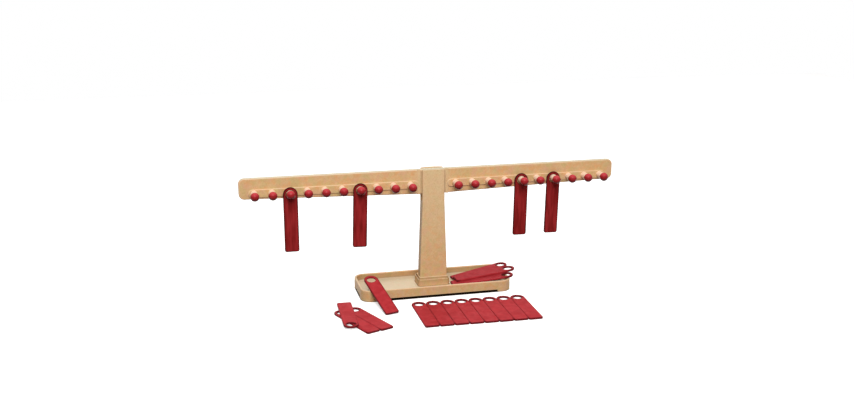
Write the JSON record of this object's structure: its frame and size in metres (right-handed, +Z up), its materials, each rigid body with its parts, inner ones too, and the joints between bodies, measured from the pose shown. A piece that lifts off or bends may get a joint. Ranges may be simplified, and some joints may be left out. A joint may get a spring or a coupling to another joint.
{
  "type": "wooden balance scale toy",
  "caption": "Balance scale toy with a tilting beam, a row of red-tipped pegs on each arm, a slotted column in a shallow divided tray, and flat red weights with a hole.",
  "frame": {"origin": "on the table, under the middle of the tray, in the plane of the beam's pivot", "axes": "+X along the level beam to the right as seen from the pegs' side, +Y from the pegs to the back, +Z up"},
  "size_m": [0.65, 0.2327, 0.215],
  "materials": {
    "tan_board": "satin",
    "pale_stems": "satin",
    "red_balls": "gloss",
    "red_weights": "semi-gloss",
    "steel": "satin"
  },
  "bodies": {
    "stand": {"tray_base": "tan_board", "column_front_shell": "tan_board", "column_rear_cover": "tan_board", "pivot_pin": "steel", "cover_screws": "steel", "base_screws": "steel"},
    "balance_beam": {"beam": "tan_board", "peg_stems_left": "pale_stems", "peg_stems_right": "pale_stems", "ball_left_1": "red_balls", "ball_left_2": "red_balls", "ball_left_3": "red_balls", "ball_left_4": "red_balls", "ball_left_5": "red_balls", "ball_left_6": "red_balls", "ball_left_7": "red_balls", "ball_left_8": "red_balls", "ball_left_9": "red_balls", "ball_left_10": "red_balls", "ball_right_1": "red_balls", "ball_right_2": "red_balls", "ball_right_3": "red_balls", "ball_right_4": "red_balls", "ball_right_5": "red_balls", "ball_right_6": "red_balls", "ball_right_7": "red_balls", "ball_right_8": "red_balls", "ball_right_9": "red_balls", "ball_right_10": "red_balls"},
    "hanging_left_8": {"weight_hanging_left_8": "red_weights"},
    "hanging_left_4": {"weight_hanging_left_4": "red_weights"},
    "hanging_right_5": {"weight_hanging_right_5": "red_weights"},
    "hanging_right_7": {"weight_hanging_right_7": "red_weights"},
    "loose_row_1": {"weight_row_1": "red_weights"},
    "loose_row_2": {"weight_row_2": "red_weights"},
    "loose_row_3": {"weight_row_3": "red_weights"},
    "loose_row_4": {"weight_row_4": "red_weights"},
    "loose_row_5": {"weight_row_5": "red_weights"},
    "loose_row_6": {"weight_row_6": "red_weights"},
    "loose_row_7": {"weight_row_7": "red_weights"},
    "loose_row_8": {"weight_row_8": "red_weights"},
    "loose_pile_left": {"weight_pile_left": "red_weights"},
    "loose_pile_right": {"weight_pile_right": "red_weights"},
    "loose_pile_top": {"weight_pile_top": "red_weights"},
    "loose_leaning": {"weight_leaning": "red_weights"},
    "loose_fan_front": {"weight_fan_front": "red_weights"},
    "loose_fan_back": {"weight_fan_back": "red_weights"},
    "loose_fan_top": {"weight_fan_top": "red_weights"}
  },
  "joints": [
    {"name": "beam_tilt", "type": "hinge", "parent": "stand", "child": "balance_beam", "pos_m": [0, 0, 0.203], "axis": [0, 1, 0], "range_deg": [-15, 15]},
    {"name": "swing_left_8", "type": "hinge", "parent": "balance_beam", "child": "hanging_left_8", "pos_m": [-0.2425, 0, 0.1888], "axis": [0, 1, 0], "range_deg": [-50, 50]},
    {"name": "swing_left_4", "type": "hinge", "parent": "balance_beam", "child": "hanging_left_4", "pos_m": [-0.1265, 0, 0.1888], "axis": [0, 1, 0], "range_deg": [-50, 50]},
    {"name": "swing_right_5", "type": "hinge", "parent": "balance_beam", "child": "hanging_right_5", "pos_m": [0.1555, 0, 0.1888], "axis": [0, 1, 0], "range_deg": [-18, 50]},
    {"name": "swing_right_7", "type": "hinge", "parent": "balance_beam", "child": "hanging_right_7", "pos_m": [0.2135, 0, 0.1888], "axis": [0, 1, 0], "range_deg": [-50, 18]},
    {"name": "take_row_1", "type": "slide", "parent": "stand", "child": "loose_row_1", "axis": [0, 0, 1], "range_m": [0, 0.12]},
    {"name": "take_row_2", "type": "slide", "parent": "stand", "child": "loose_row_2", "axis": [0, 0, 1], "range_m": [0, 0.12]},
    {"name": "take_row_3", "type": "slide", "parent": "stand", "child": "loose_row_3", "axis": [0, 0, 1], "range_m": [0, 0.12]},
    {"name": "take_row_4", "type": "slide", "parent": "stand", "child": "loose_row_4", "axis": [0, 0, 1], "range_m": [0, 0.12]},
    {"name": "take_row_5", "type": "slide", "parent": "stand", "child": "loose_row_5", "axis": [0, 0, 1], "range_m": [0, 0.12]},
    {"name": "take_row_6", "type": "slide", "parent": "stand", "child": "loose_row_6", "axis": [0, 0, 1], "range_m": [0, 0.12]},
    {"name": "take_row_7", "type": "slide", "parent": "stand", "child": "loose_row_7", "axis": [0, 0, 1], "range_m": [0, 0.12]},
    {"name": "take_row_8", "type": "slide", "parent": "stand", "child": "loose_row_8", "axis": [0, 0, 1], "range_m": [0, 0.12]},
    {"name": "take_pile_left", "type": "slide", "parent": "stand", "child": "loose_pile_left", "axis": [0.3827, -0.9239, 0], "range_m": [0, 0.11]},
    {"name": "take_pile_right", "type": "slide", "parent": "stand", "child": "loose_pile_right", "axis": [0.3827, -0.9239, 0], "range_m": [0, 0.11]},
    {"name": "take_pile_top", "type": "slide", "parent": "stand", "child": "loose_pile_top", "axis": [0, 0, 1], "range_m": [0, 0.12]},
    {"name": "take_leaning", "type": "slide", "parent": "stand", "child": "loose_leaning", "axis": [0, -0.5, 0.866], "range_m": [0, 0.1]},
    {"name": "take_fan_front", "type": "slide", "parent": "stand", "child": "loose_fan_front", "axis": [0.9949, -0.0175, 0.0997], "range_m": [0, 0.11]},
    {"name": "take_fan_back", "type": "slide", "parent": "stand", "child": "loose_fan_back", "axis": [0.962, 0.2554, 0.0964], "range_m": [0, 0.11]},
    {"name": "take_fan_top", "type": "slide", "parent": "stand", "child": "loose_fan_top", "axis": [0, -0.6, 0.8], "range_m": [0, 0.09]}
  ]
}
